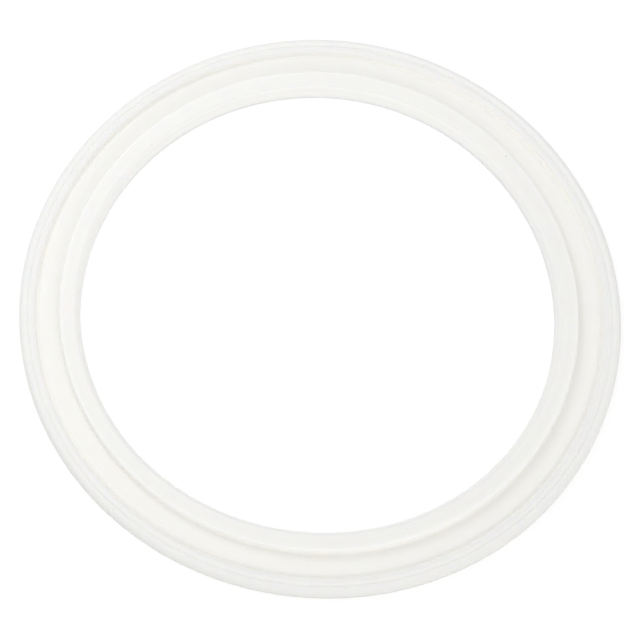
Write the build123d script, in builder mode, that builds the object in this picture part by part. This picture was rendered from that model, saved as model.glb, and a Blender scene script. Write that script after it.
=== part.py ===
"""Silicone jar lid seal, in millimetres.

The seal is one moulded ring, so one half section is drawn and turned once about Z. From the bore outwards
that section has a collar that stands round the bore, a flat web, a shallow valley, two round sealing beads
and a low rim wall. The ring lies on its flat underside: z is 0 there, and the axis of the ring is Z.
"""

from build123d import *
import os

# The collar round the bore, and the slope that leads a lid's plug into it
bore_radius = 39.5
lead_in_run = 0.7
lead_in_height = 1.6
collar_height = 3.1
collar_top_width = 2.85
collar_draft_run = 0.1

# The thin web between the collar and the valley
web_width = 3.2
web_thickness = 1.3

# The valley between the web and the beads
valley_rise_run = 0.75
valley_depth = 0.3
valley_flank_run = 0.2

# The two sealing beads, with a groove between their crests
bead_height = 0.7
bead_pitch = 1.25
bead_groove_depth = 0.28
bead_side_run = 0.6
bead_side_fall = 0.27

# The rim outside the beads
shoulder_run = 0.25
rim_wall_height = 1.2

# Rounded edges, named for where they are
collar_inner_edge = 0.6
collar_outer_edge = 0.3
rim_top_edge = 0.2

# Radii that follow from the sizes above, from the bore outwards
collar_inner_r = bore_radius + lead_in_run
collar_outer_r = collar_inner_r + collar_top_width
collar_foot_r = collar_outer_r + collar_draft_run
web_end_r = collar_foot_r + web_width
valley_r = web_end_r + valley_rise_run
bead_foot_r = valley_r + valley_flank_run
inner_crest_r = bead_foot_r + bead_side_run
groove_r = inner_crest_r + bead_pitch / 2
outer_crest_r = inner_crest_r + bead_pitch
shoulder_r = outer_crest_r + bead_side_run
outer_radius = shoulder_r + shoulder_run

# Heights that follow, from the underside up
bore_wall_height = collar_height - lead_in_height
valley_z = web_thickness - valley_depth
crest_z = web_thickness + bead_height
groove_z = crest_z - bead_groove_depth
bead_foot_z = crest_z - bead_side_fall

with BuildPart() as lid_seal:
    with BuildSketch(Plane.XZ) as section:
        with BuildLine():
            # Up the bore, over the collar, along the web and through the valley to the inner bead
            Polyline(
                (bore_radius, 0),
                (bore_radius, bore_wall_height),
                (collar_inner_r, collar_height),
                (collar_outer_r, collar_height),
                (collar_foot_r, web_thickness),
                (web_end_r, web_thickness),
                (valley_r, valley_z),
                (bead_foot_r, bead_foot_z),
            )
            # Each bead is level at its crest and falls from there in one arc to each side.
            TangentArc((inner_crest_r, crest_z), (bead_foot_r, bead_foot_z), tangent=(-1, 0))
            TangentArc((inner_crest_r, crest_z), (groove_r, groove_z), tangent=(1, 0))
            TangentArc((outer_crest_r, crest_z), (groove_r, groove_z), tangent=(-1, 0))
            TangentArc((outer_crest_r, crest_z), (shoulder_r, bead_foot_z), tangent=(1, 0))
            # Over the shoulder, down the rim and back along the underside
            Polyline(
                (shoulder_r, bead_foot_z),
                (outer_radius, rim_wall_height),
                (outer_radius, 0),
                (bore_radius, 0),
            )
        make_face()

        def corner(radius, height):
            """The corner of the section nearest to a radius and a height."""
            return section.vertices().sort_by_distance((radius, height))[0]

        # The cut half of the mould rounds these edges. Its flat half leaves the underside's edges sharp.
        fillet(corner(collar_inner_r, collar_height), collar_inner_edge)
        fillet(corner(collar_outer_r, collar_height), collar_outer_edge)
        fillet(corner(outer_radius, rim_wall_height), rim_top_edge)
    revolve(axis=Axis.Z)

lid_seal.part.label = "lid_seal"

os.makedirs("parts", exist_ok=True)
export_step(lid_seal.part, "parts/lid_seal.step")
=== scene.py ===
# %% [markdown]
# # A silicone jar lid seal
# The object is one soft ring, 100 mm across and 3 mm high, moulded from milky silicone. It seals a
# jar's lid. This lesson turns its section into a fine mesh, gives it a translucent rubber finish, and
# lays it on a white floor in soft light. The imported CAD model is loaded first, because it fixes the
# size and place of the rest.

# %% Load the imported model
import math

import bpy
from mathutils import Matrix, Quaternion, Vector


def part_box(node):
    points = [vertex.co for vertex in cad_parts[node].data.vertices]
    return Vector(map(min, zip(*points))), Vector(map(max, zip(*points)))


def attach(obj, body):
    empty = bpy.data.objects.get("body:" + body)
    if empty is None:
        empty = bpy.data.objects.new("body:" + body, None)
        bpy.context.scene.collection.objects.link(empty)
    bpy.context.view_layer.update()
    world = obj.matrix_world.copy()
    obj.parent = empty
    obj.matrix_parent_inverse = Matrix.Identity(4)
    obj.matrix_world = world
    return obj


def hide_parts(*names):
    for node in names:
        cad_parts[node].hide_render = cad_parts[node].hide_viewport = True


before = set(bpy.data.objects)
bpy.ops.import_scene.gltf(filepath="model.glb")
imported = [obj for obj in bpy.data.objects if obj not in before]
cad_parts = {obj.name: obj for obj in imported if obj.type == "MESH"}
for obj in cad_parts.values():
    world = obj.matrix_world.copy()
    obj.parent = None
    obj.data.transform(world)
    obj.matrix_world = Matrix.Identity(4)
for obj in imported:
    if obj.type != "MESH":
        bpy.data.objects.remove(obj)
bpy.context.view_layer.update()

MM = 0.001
cad_low, cad_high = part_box("lid_seal")
print("CAD box in mm:", [round(side / MM, 2) for side in cad_high - cad_low])

# %% [markdown]
# ## The section of the ring
# Cut across, the ring has a thick collar round its bore, a thin web, a shallow valley, two round
# sealing beads and a low rim. A mould for it is turned on a lathe, so its outline is all that has to be
# drawn. It could be drawn by hand as a curve, but with numbers each wall and step has its real size.
# They are in millimetres, and each radius follows from the one before it, from the bore outwards.

# %% Sizes of the section
# The collar round the bore, and the slope that leads a lid's plug into it
BORE_RADIUS = 39.5
BORE_WALL_HEIGHT = 1.5
LEAD_IN_RUN = 0.7
COLLAR_HEIGHT = cad_high.z / MM
COLLAR_TOP_WIDTH = 2.85
COLLAR_DRAFT_RUN = 0.1

# The thin web, and the valley between it and the beads
WEB_WIDTH = 3.2
WEB_THICKNESS = 1.3
VALLEY_RISE_RUN = 0.75
VALLEY_DEPTH = 0.3
VALLEY_FLANK_RUN = 0.2

# The two sealing beads, and the rim outside them
BEAD_HEIGHT = 0.7
BEAD_PITCH = 1.25
BEAD_GROOVE_DEPTH = 0.28
BEAD_SIDE_RUN = 0.6
BEAD_SIDE_FALL = 0.27
SHOULDER_RUN = 0.25
RIM_WALL_HEIGHT = 1.2

collar_inner = BORE_RADIUS + LEAD_IN_RUN
collar_outer = collar_inner + COLLAR_TOP_WIDTH
collar_foot = collar_outer + COLLAR_DRAFT_RUN
web_end = collar_foot + WEB_WIDTH
valley = web_end + VALLEY_RISE_RUN
bead_foot = valley + VALLEY_FLANK_RUN
inner_crest = bead_foot + BEAD_SIDE_RUN
groove = inner_crest + BEAD_PITCH / 2
outer_crest = inner_crest + BEAD_PITCH
shoulder = outer_crest + BEAD_SIDE_RUN
rim = shoulder + SHOULDER_RUN
crest_height = WEB_THICKNESS + BEAD_HEIGHT
print("rim radius in mm:", round(rim, 3), "and in the CAD model:", round(cad_high.x / MM, 3))

# %% [markdown]
# ## The sealing beads
# A bead is an arc that leaves its crest level. Two sizes fix that arc: how far it runs to the side,
# and how far it falls on the way. A curve object would give the same arc, but points in a list can be
# joined straight to the rest of the outline. Each point has a distance from the axis, a height and the
# radius of its rounding. That radius is 0 on the beads, because their short steps need no rounding of
# their own.

# %% Arcs of the beads
ARC_STEPS = 7


def bead_side(crest, run, fall):
    """Points of one side of a bead, from its crest outwards. A negative run goes towards the bore."""
    radius = (run * run + fall * fall) / (2 * fall)
    sweep = math.atan2(abs(run), radius - fall)
    side = []
    for step in range(ARC_STEPS + 1):
        turn = sweep * step / ARC_STEPS
        away = math.copysign(radius * math.sin(turn), run)
        side.append((crest + away, crest_height - radius * (1 - math.cos(turn)), 0))
    return side


inner_bead = bead_side(inner_crest, -BEAD_SIDE_RUN, BEAD_SIDE_FALL)[::-1]
inner_bead += bead_side(inner_crest, BEAD_PITCH / 2, BEAD_GROOVE_DEPTH)[1:-1]
outer_bead = bead_side(outer_crest, -BEAD_PITCH / 2, BEAD_GROOVE_DEPTH)[-2::-1]
outer_bead += bead_side(outer_crest, BEAD_SIDE_RUN, BEAD_SIDE_FALL)[1:]
print("points on the two beads:", len(inner_bead) + len(outer_bead))

# %% [markdown]
# ## Corners of the outline
# The outline goes up the bore, over the collar and the beads and down the rim, and its last side is the
# flat underside. Real edges are never sharp, and each one catches its own thin line of light, so every
# corner has a rounding, in mm, and only the points along a bead have none. A Bevel modifier could round
# the finished ring instead, but here each corner has a radius of its own, so the outline is the easier
# place for it.

# %% List the corners
UNDERSIDE_ROUNDING = 0.1
BORE_WALL_ROUNDING = 0.6
COLLAR_INNER_ROUNDING = 0.6
COLLAR_OUTER_ROUNDING = 0.3
COLLAR_FOOT_ROUNDING = 0.25
WEB_END_ROUNDING = 0.8
VALLEY_ROUNDING = 0.2
GROOVE_ROUNDING = 0.06
RIM_TOP_ROUNDING = 0.2

corners = [
    (BORE_RADIUS, 0, UNDERSIDE_ROUNDING),
    (BORE_RADIUS, BORE_WALL_HEIGHT, BORE_WALL_ROUNDING),
    (collar_inner, COLLAR_HEIGHT, COLLAR_INNER_ROUNDING),
    (collar_outer, COLLAR_HEIGHT, COLLAR_OUTER_ROUNDING),
    (collar_foot, WEB_THICKNESS, COLLAR_FOOT_ROUNDING),
    (web_end, WEB_THICKNESS, WEB_END_ROUNDING),
    (valley, WEB_THICKNESS - VALLEY_DEPTH, VALLEY_ROUNDING),
    *inner_bead,
    (groove, crest_height - BEAD_GROOVE_DEPTH, GROOVE_ROUNDING),
    *outer_bead,
    (rim, RIM_WALL_HEIGHT, RIM_TOP_ROUNDING),
    (rim, 0, UNDERSIDE_ROUNDING),
]
print("corners and bead points:", len(corners))

# %% [markdown]
# A corner is rounded by cutting it off at the same distance on both sides and bending an arc between
# the cuts. No cut takes more than a share of a side, so that two roundings never meet. Smooth shading
# averages the slopes that meet at a point, so a flat face next to a tight rounding looks puffy. On
# sides that are long enough, one more point a little way out keeps that blend short. Modellers call it
# a holding edge.

# %% Round the outline
ROUND_STEPS = 7
HOLDING_DISTANCE = 0.05
# The largest share of a side that one rounding may cut off
CUT_SHARE = 0.45
# A side shorter than this, in mm, gets no holding point
SHORT_SIDE = 0.45


def rounded(sharp):
    """Replaces each corner that has a rounding by an arc, with a holding point on each long side of it."""
    smooth = []
    for here, (radius, height, rounding) in enumerate(sharp):
        point = Vector((radius, height))
        if rounding == 0:
            smooth.append(point)
            continue
        before = Vector(sharp[here - 1][:2]) - point
        after = Vector(sharp[(here + 1) % len(sharp)][:2]) - point
        back = before.normalized()
        onward = after.normalized()
        half_turn = (math.pi - before.angle(after)) / 2
        cut = min(rounding * math.tan(half_turn), CUT_SHARE * before.length, CUT_SHARE * after.length)
        start = point + back * cut
        end = point + onward * cut
        arc_radius = cut / math.tan(half_turn)
        centre = point + (back + onward).normalized() * (arc_radius / math.cos(half_turn))
        if before.length > SHORT_SIDE:
            smooth.append(start + back * HOLDING_DISTANCE)
        for step in range(ROUND_STEPS + 1):
            spoke = (start - centre).slerp(end - centre, step / ROUND_STEPS)
            smooth.append(centre + spoke.normalized() * arc_radius)
        if after.length > SHORT_SIDE:
            smooth.append(end + onward * HOLDING_DISTANCE)
    return smooth


outline = rounded(corners)
print("points round the section:", len(outline))

# %% [markdown]
# ## The lie of a soft ring
# A silicone ring is floppy. Put down on a table, it is never quite round: this one lies very slightly
# oval and three-cornered, and its web is stretched a little wider on the right than on the left. A
# Lattice modifier could bend a round ring that way, but a formula says exactly how far. It gives each
# point of the outline a small shift that changes with the angle round the axis. The whole ring is drawn
# a little over a third of a millimetre smaller in radius, so that its widest lie stays inside the CAD
# model's box.

# %% How far out the ring lies at each angle
OVAL = 0.11
OVAL_DIRECTION = math.radians(0)
THREE_CORNERED = 0.18
CORNER_DIRECTION = math.radians(90)
STRETCH = 0.245
STRETCH_DIRECTION = math.radians(5)
SHRINKAGE = 0.37


def lie(radius, angle):
    """The outward shift in mm of a point of the outline, at an angle round the axis counted from +X."""
    oval = OVAL * math.cos(2 * (angle - OVAL_DIRECTION))
    three = THREE_CORNERED * math.cos(3 * (angle - CORNER_DIRECTION))
    rimward = (2 * radius - BORE_RADIUS - rim) / (rim - BORE_RADIUS)
    stretch = STRETCH * rimward * math.cos(angle - STRETCH_DIRECTION)
    return oval + three + stretch - SHRINKAGE


for name, radius in (("rim", rim), ("bore", BORE_RADIUS)):
    shifts = [lie(radius, math.radians(degree)) for degree in range(360)]
    print("shifts of the", name, "in mm, from", round(min(shifts), 2), "to", round(max(shifts), 2))

# %% [markdown]
# ## Turning the outline into a mesh
# A Screw modifier would turn the outline round the axis, but it would make every section alike, and
# here each one has its own shift. So the outline is set down at many angles, and each copy is joined to
# the one before with four-sided faces. Each point also keeps the radius at which it was moulded, as an
# attribute. The material reads it later, to tell the web from the collar and the beads without being
# upset by the uneven lie.

# %% Build the ring
SEGMENTS = 720

points = []
moulded = []
for segment in range(SEGMENTS):
    angle = 2 * math.pi * segment / SEGMENTS
    for radius, height in outline:
        out = (radius + lie(radius, angle)) * MM
        points.append((out * math.cos(angle), out * math.sin(angle), height * MM))
        moulded.append(radius)

count = len(outline)
faces = []
for segment in range(SEGMENTS):
    here = segment * count
    there = (segment + 1) % SEGMENTS * count
    for step in range(count):
        after = (step + 1) % count
        faces.append((here + step, here + after, there + after, there + step))

mesh = bpy.data.meshes.new("seal_ring")
mesh.from_pydata(points, [], faces)
mesh.attributes.new("moulded_radius", "FLOAT", "POINT").data.foreach_set("value", moulded)
mesh.shade_smooth()
ring = bpy.data.objects.new("seal_ring", mesh)
bpy.context.scene.collection.objects.link(ring)
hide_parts("lid_seal")
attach(ring, "root")
print("faces:", len(mesh.polygons), "box in mm:", [round(side / MM, 2) for side in ring.dimensions])

# %% [markdown]
# ## Helpers for materials
# A material is a tree of nodes. One helper clears a tree for a fresh start. Colours are picked as hex
# codes, as on a screen, but Blender's sockets want linear light, so a second one turns them. A third
# one adds a node, sets its options and fills its sockets. A socket takes either a plain value or the
# output of another node, and a colour ramp also takes a list of stops.

# %% Helpers for colour and nodes
def fresh_tree(owner):
    """The node tree of a material or of the world, without its default nodes."""
    owner.use_nodes = True
    owner.node_tree.nodes.clear()
    return owner.node_tree


def colour(code):
    """Turns an sRGB hex code such as "F2F1EC" to linear light."""
    channels = [int(code[place:place + 2], 16) / 255 for place in (0, 2, 4)]
    return (*[c / 12.92 if c <= 0.04045 else ((c + 0.055) / 1.055) ** 2.4 for c in channels], 1)


def add(tree, kind, sockets=None, stops=(), **options):
    """Adds one node with its options, sets or links its sockets, and gives a colour ramp its stops."""
    node = tree.nodes.new(kind)
    for name, value in options.items():
        setattr(node, name, value)
    for name, value in (sockets or {}).items():
        if isinstance(value, bpy.types.NodeSocket):
            tree.links.new(value, node.inputs[name])
        else:
            node.inputs[name].default_value = value
    if stops:
        ramp = node.color_ramp.elements
        while len(ramp) < len(stops):
            ramp.new(0.5)
        for element, (position, shade) in zip(ramp, stops):
            element.position = position
            element.color = shade
    return node


print("hex 808080 in linear light:", round(colour("808080")[0], 3))

# %% [markdown]
# ## Milky silicone
# Uncoloured silicone rubber is clear with a milky haze. Light goes in, scatters in the haze and comes
# out a little way off, so its shadows are soft and its steps are hard to see. It is almost white, with
# a hint of cream that comes from the blue it soaks up. The web and the valley are the palest. The beads,
# the shoulder, the rim and the lip of the bore are painted a shade darker and greyer: painted shade for
# the light that leaves sideways there, and on the rim and the lip for the dark lines along their edges.
# The bore's wall is painted in the collar's darker tone, painted shade as well. The groove between the
# beads is painted lighter than their crests: painted light that softens the shade in the groove.
# Painting those tones on an image would tie them to one mesh. A colour ramp over the moulded radius
# holds them instead, and it follows the sizes of the section.

# %% The silicone's colours
WEB = colour("F9F7F2")
VALLEY = colour("FAF8F3")
COLLAR = colour("F0F0EE")
# Painted shade: the beads, the shoulder, the rim and the lip are darker and greyer than the web
BEADS_WITH_PAINTED_SHADE = colour("EBEBEA")
# Painted light: the groove is lighter than the crests of the beads
GROOVE_WITH_PAINTED_LIGHT = colour("F2F2F0")
SHOULDER_WITH_PAINTED_SHADE = colour("E7E7E6")
RIM_WITH_PAINTED_SHADE = colour("E7E7E4")
LIP_PAINTED_SHADE = colour("E9E9E8")

# Distances from a corner in mm: where a change of tone is over, and where the lip's painted shade has
# faded
BLEND = 0.1
LIP_FADE = 0.5

tones = [
    # The bore's wall has the collar's darker tone: painted shade along the hole's edge
    (BORE_RADIUS, COLLAR),
    (collar_inner - BLEND, COLLAR),
    # Painted shade: a dark line along the lip of the bore
    (collar_inner + BLEND, LIP_PAINTED_SHADE),
    (collar_inner + LIP_FADE, COLLAR),
    (collar_outer, COLLAR),
    (collar_foot + BLEND, WEB),
    (web_end, WEB),
    (valley, VALLEY),
    # Painted shade: the beads are darker than the web
    (bead_foot + BLEND, BEADS_WITH_PAINTED_SHADE),
    (inner_crest, BEADS_WITH_PAINTED_SHADE),
    # Painted light: the groove is lighter than the crests
    (groove, GROOVE_WITH_PAINTED_LIGHT),
    (outer_crest, BEADS_WITH_PAINTED_SHADE),
    # Painted shade: the shoulder and the rim are the darkest, along the outer edge
    (shoulder, SHOULDER_WITH_PAINTED_SHADE),
    (rim, RIM_WITH_PAINTED_SHADE),
]


def across(radius):
    """Where a moulded radius in mm lies between the bore, at 0, and the rim, at 1."""
    return (radius - BORE_RADIUS) / (rim - BORE_RADIUS)


silicone = bpy.data.materials.new("milky_silicone_moulded_satin")
tree = fresh_tree(silicone)
moulded_radius = add(tree, "ShaderNodeAttribute", attribute_name="moulded_radius")
bore_to_rim = add(tree, "ShaderNodeMapRange", {
    "Value": moulded_radius.outputs["Fac"],
    "From Min": BORE_RADIUS,
    "From Max": rim,
})
# This ramp holds the silicone's tint together with its painted shade and painted light
tint_painted_light_and_shade = add(tree, "ShaderNodeValToRGB", {"Fac": bore_to_rim.outputs["Result"]},
           stops=[(across(radius), shade) for radius, shade in tones])
print("stops of the tint:", len(tones), "from", BORE_RADIUS, "to", round(rim, 2), "mm")

# %% [markdown]
# ## Marks of the mould
# The mould was turned, so its tool left fine rings that the silicone copies. They are noise along the
# moulded radius only, about four tenths of a millimetre apart, and they vary the tone and the surface
# very slightly. The haze in the rubber is uneven too, in clouds some 3 mm across that are faintly warm
# or cool. A finer noise is the satin that the mould's blasted steel leaves. Its grain is a quarter of a
# millimetre, coarser than life, or the picture could not hold it. All of this is shallower than the
# mesh could carry, so it goes into the tone and a bump.

# %% Rings, clouds and satin
RING_SPACING = 0.4
RING_TONE = 0.01
RING_RELIEF_SHARE = 0.6
CLOUD_SIZE = 3 * MM
CLOUD_TONE = 0.022
SATIN_SIZE = 0.25 * MM
RELIEF = 0.002 * MM

place = add(tree, "ShaderNodeTexCoord").outputs["Object"]
rings = add(tree, "ShaderNodeTexNoise", {
    "W": moulded_radius.outputs["Fac"],
    "Scale": 1 / RING_SPACING,
    "Detail": 3.0,
}, noise_dimensions="1D")
clouds = add(tree, "ShaderNodeTexNoise", {"Vector": place, "Scale": 1 / CLOUD_SIZE, "Detail": 2.0})
satin = add(tree, "ShaderNodeTexNoise", {"Vector": place, "Scale": 1 / SATIN_SIZE, "Detail": 2.0})
ring_tone = add(tree, "ShaderNodeMapRange", {
    "Value": rings.outputs["Fac"],
    "To Min": 1 - 2 * RING_TONE,
    "To Max": 1 + 2 * RING_TONE,
})
haze = add(tree, "ShaderNodeVectorMath", {
    0: clouds.outputs["Color"],
    1: (2 * CLOUD_TONE, 2 * CLOUD_TONE, 2 * CLOUD_TONE),
    2: (1 - CLOUD_TONE, 1 - CLOUD_TONE, 1 - CLOUD_TONE),
}, operation="MULTIPLY_ADD")
hazy = add(tree, "ShaderNodeVectorMath", {
    0: tint_painted_light_and_shade.outputs["Color"],
    1: haze.outputs["Vector"],
}, operation="MULTIPLY")
height = add(tree, "ShaderNodeMath", {
    0: rings.outputs["Fac"],
    1: RING_RELIEF_SHARE,
    2: satin.outputs["Fac"],
}, operation="MULTIPLY_ADD")
relief = add(tree, "ShaderNodeBump", {"Height": height.outputs[0], "Distance": RELIEF})
print("relief of the surface in mm:", RELIEF / MM)

# %% [markdown]
# ## Specks of dust
# A few specks of dust lie on the rubber, each a few tenths of a millimetre across. A noise could
# scatter them by chance, but these are placed one by one, where they lie on the real ring. A row holds the
# angle in degrees, the moulded radius, the height and the speck's own radius in mm, and its darkness.
# The tone falls by that darkness round each place. A chain of additions gathers the specks, so that one
# number says how much darker each point of the surface is.

# %% Place the specks
# The share of a speck's radius that is fully dark
SPECK_CORE = 0.5

specks = [
    (48.9, 42.26, 3.10, 0.20, 0.21),
    (95.5, 42.90, 3.05, 0.17, 0.09),
    (96.1, 42.90, 3.05, 0.17, 0.09),
    (142.6, 40.60, 3.05, 0.18, 0.11),
    (234.4, 49.21, 2.00, 0.18, 0.10),
    (297.1, 41.41, 3.10, 0.18, 0.08),
    (286.0, 49.96, 1.25, 0.18, 0.06),
    (288.9, 50.00, 0.76, 0.18, 0.06),
    (228.1, 40.72, 3.10, 0.16, 0.06),
    (349.5, 47.67, 1.96, 0.20, 0.04),
    (337.2, 46.05, 1.30, 0.20, 0.04),
]
dust = 0.0
for degrees, radius, up, size, darkness in specks:
    angle = math.radians(degrees)
    out = (radius + lie(radius, angle)) * MM
    away = add(tree, "ShaderNodeVectorMath", {
        0: place,
        1: (out * math.cos(angle), out * math.sin(angle), up * MM),
    }, operation="DISTANCE")
    speck = add(tree, "ShaderNodeMapRange", {
        "Value": away.outputs["Value"],
        "From Min": SPECK_CORE * size * MM,
        "From Max": size * MM,
        "To Min": darkness,
        "To Max": 0.0,
    })
    dust = add(tree, "ShaderNodeMath", {0: speck.outputs["Result"], 1: dust}, operation="ADD").outputs[0]
clean = add(tree, "ShaderNodeMath", {0: 1.0, 1: dust}, operation="SUBTRACT")
tone = add(tree, "ShaderNodeMath", {
    0: ring_tone.outputs["Result"],
    1: clean.outputs[0],
}, operation="MULTIPLY")
base = add(tree, "ShaderNodeVectorMath", {
    0: hazy.outputs["Vector"],
    "Scale": tone.outputs[0],
}, operation="SCALE")
print("specks of dust:", len(specks))

# %% [markdown]
# ## The shader
# The shader brings these together. Silicone bends light with an index of about 1.41, and a satin mould
# leaves a roughness a little over one half, so the ring shows no sharp reflections. A volume inside a
# glassy skin would be nearest to the real thing, but slow and grainy to render, so subsurface
# scattering stands for it. It spreads red a little further than blue, and blurs the shading of the
# beads and of the collar. Through the thin web and valley, light also reaches the white floor and comes
# back, but a render loses most of that light in the contact between the two. So those places scatter
# less here, and the rest is plain matt white.

# %% The silicone's shader
SATIN_ROUGHNESS = 0.55
SILICONE_IOR = 1.41
SCATTER_REACH = 1.5 * MM
SCATTER_BY_COLOUR = (1.0, 0.95, 0.85)
SCATTER_THICK = 0.75
SCATTER_WEB = 0.5
SCATTER_VALLEY = 0.35

scatter_weights = [
    (collar_outer, SCATTER_THICK),
    (collar_foot + BLEND, SCATTER_WEB),
    (web_end, SCATTER_WEB),
    (valley, SCATTER_VALLEY),
    (bead_foot + BLEND, SCATTER_THICK),
]
scatter = add(tree, "ShaderNodeValToRGB", {"Fac": bore_to_rim.outputs["Result"]},
              stops=[(across(radius), (weight, weight, weight, 1)) for radius, weight in scatter_weights])
surface = add(tree, "ShaderNodeBsdfPrincipled", {
    "Base Color": base.outputs["Vector"],
    "Roughness": SATIN_ROUGHNESS,
    "IOR": SILICONE_IOR,
    "Subsurface Weight": scatter.outputs["Color"],
    "Subsurface Radius": SCATTER_BY_COLOUR,
    "Subsurface Scale": SCATTER_REACH,
    "Normal": relief.outputs["Normal"],
})
add(tree, "ShaderNodeOutputMaterial", {"Surface": surface.outputs["BSDF"]})
mesh.materials.append(silicone)
print("material:", silicone.name, "with", len(tree.nodes), "nodes")

# %% [markdown]
# ## A white floor that keeps a shadow
# The floor is matt white card. Light from the lamps would leave it pale grey, and stronger lamps would
# burn out the pale ring. So for the camera part of the floor's brightness is its own glow, and the rest
# is the light that falls on it, which keeps the object's soft shadow. The glow lights nothing, because
# rays other than those of the eye, of gloss and of glass see plain card.

# %% Floor
FLOOR_SIZE = 4.0
FLOOR_GLOW = 0.68
FLOOR_SHADE = 0.36
CARD = colour("FAFAFA")
WHITE = (1, 1, 1, 1)


def seen_rays(tree):
    """A value that is 1 for camera, gloss and transmission rays, and 0 for the rays that carry light."""
    path = add(tree, "ShaderNodeLightPath")
    eye_or_gloss = add(tree, "ShaderNodeMath", {
        0: path.outputs["Is Camera Ray"],
        1: path.outputs["Is Glossy Ray"],
    }, operation="ADD")
    every = add(tree, "ShaderNodeMath", {
        0: eye_or_gloss.outputs[0],
        1: path.outputs["Is Transmission Ray"],
    }, operation="ADD", use_clamp=True)
    return every.outputs[0]


floor_card = bpy.data.materials.new("matt_white_card")
tree = fresh_tree(floor_card)
card = add(tree, "ShaderNodeBsdfDiffuse", {"Color": CARD})
dimmed = add(tree, "ShaderNodeBsdfDiffuse", {"Color": (FLOOR_SHADE, FLOOR_SHADE, FLOOR_SHADE, 1)})
glow = add(tree, "ShaderNodeEmission", {"Color": WHITE, "Strength": FLOOR_GLOW})
seen = add(tree, "ShaderNodeAddShader", {0: dimmed.outputs[0], 1: glow.outputs[0]})
either = add(tree, "ShaderNodeMixShader", {0: seen_rays(tree), 1: card.outputs[0], 2: seen.outputs[0]})
add(tree, "ShaderNodeOutputMaterial", {"Surface": either.outputs[0]})

half = FLOOR_SIZE / 2
floor_corners = [(-half, -half, 0), (half, -half, 0), (half, half, 0), (-half, half, 0)]
floor_mesh = bpy.data.meshes.new("floor")
floor_mesh.from_pydata(floor_corners, [], [(0, 1, 2, 3)])
floor_mesh.materials.append(floor_card)
floor = bpy.data.objects.new("floor", floor_mesh)
bpy.context.scene.collection.objects.link(floor)
print("floor side in m:", FLOOR_SIZE)

# %% [markdown]
# ## Soft studio light
# Product photos of pale things use a bright, white room, and here the world gives most of the light. It
# would do alone, but then every side of the ring would look alike. So a small softbox hangs close by,
# high at the back on the left, and its light falls off across the ring towards the right. A larger one
# stands in front on the right and fills the walls that face it, so that no step looks dark. Together
# they bring a white, level surface to about white, so the colours come out about as they are written.

# %% World and lamps
ROOM_LIGHT = 0.773

world = bpy.data.worlds.new("bright_room")
bpy.context.scene.world = world
tree = fresh_tree(world)
room = add(tree, "ShaderNodeBackground", {"Color": WHITE, "Strength": ROOM_LIGHT})
white = add(tree, "ShaderNodeBackground", {"Color": WHITE, "Strength": 1.0})
either = add(tree, "ShaderNodeMixShader", {0: seen_rays(tree), 1: room.outputs[0], 2: white.outputs[0]})
add(tree, "ShaderNodeOutputWorld", {"Surface": either.outputs[0]})


def softbox(name, power, tone, size, distance, degrees_round, degrees_up):
    """A square soft lamp that faces the ring's centre from a distance, an angle round and an elevation."""
    data = bpy.data.lights.new(name, "AREA")
    data.energy = power
    data.color = tone
    data.size = size
    lamp = bpy.data.objects.new(name, data)
    round_angle = math.radians(degrees_round)
    up_angle = math.radians(degrees_up)
    level = distance * math.cos(up_angle)
    height = distance * math.sin(up_angle)
    lamp.location = (level * math.cos(round_angle), level * math.sin(round_angle), height)
    lamp.rotation_euler = (-lamp.location).to_track_quat("-Z", "Y").to_euler()
    bpy.context.scene.collection.objects.link(lamp)
    print(name, "at, in m:", [round(c, 2) for c in lamp.location])


softbox("softbox_close_by", power=0.15, tone=(1, 1, 1), size=0.14,
        distance=0.27, degrees_round=146, degrees_up=54)
softbox("softbox_in_front", power=4.6, tone=(1, 0.98, 0.93), size=0.8,
        distance=1.5, degrees_round=300, degrees_up=24)

# %% [markdown]
# ## The camera
# The photo looks down steeply, at about three quarters of a right angle, from roughly half a metre away
# through a long lens. The near side of the ring looks only a little larger than the far side, and that
# difference fixes the distance. The lens then follows from the scale of the ring in the picture. The
# camera was held a little crooked, so it is rolled about its own line of sight before it is turned to
# the ring.

# %% Camera
PICTURE_WIDTH = 640
PIXELS_PER_METRE = 6040
SENSOR_WIDTH = 36.0
CAMERA_DISTANCE = 0.4866
CAMERA_ELEVATION = math.radians(68.0)
CAMERA_ROLL = math.radians(8.0)
AIM = Vector((0.00018, -0.00133, -0.00054))

camera_data = bpy.data.cameras.new("camera")
camera_data.sensor_width = SENSOR_WIDTH
camera_data.lens = PIXELS_PER_METRE * CAMERA_DISTANCE / PICTURE_WIDTH * SENSOR_WIDTH
camera = bpy.data.objects.new("camera", camera_data)
back = Vector((0, -math.cos(CAMERA_ELEVATION), math.sin(CAMERA_ELEVATION)))
camera.location = AIM + back * CAMERA_DISTANCE
upright = (-back).to_track_quat("-Z", "Y")
camera.rotation_euler = (upright @ Quaternion((0, 0, 1), CAMERA_ROLL)).to_euler()
bpy.context.scene.collection.objects.link(camera)
bpy.context.scene.camera = camera
bpy.context.scene.view_settings.view_transform = "Standard"
print("lens in mm:", round(camera_data.lens, 1))
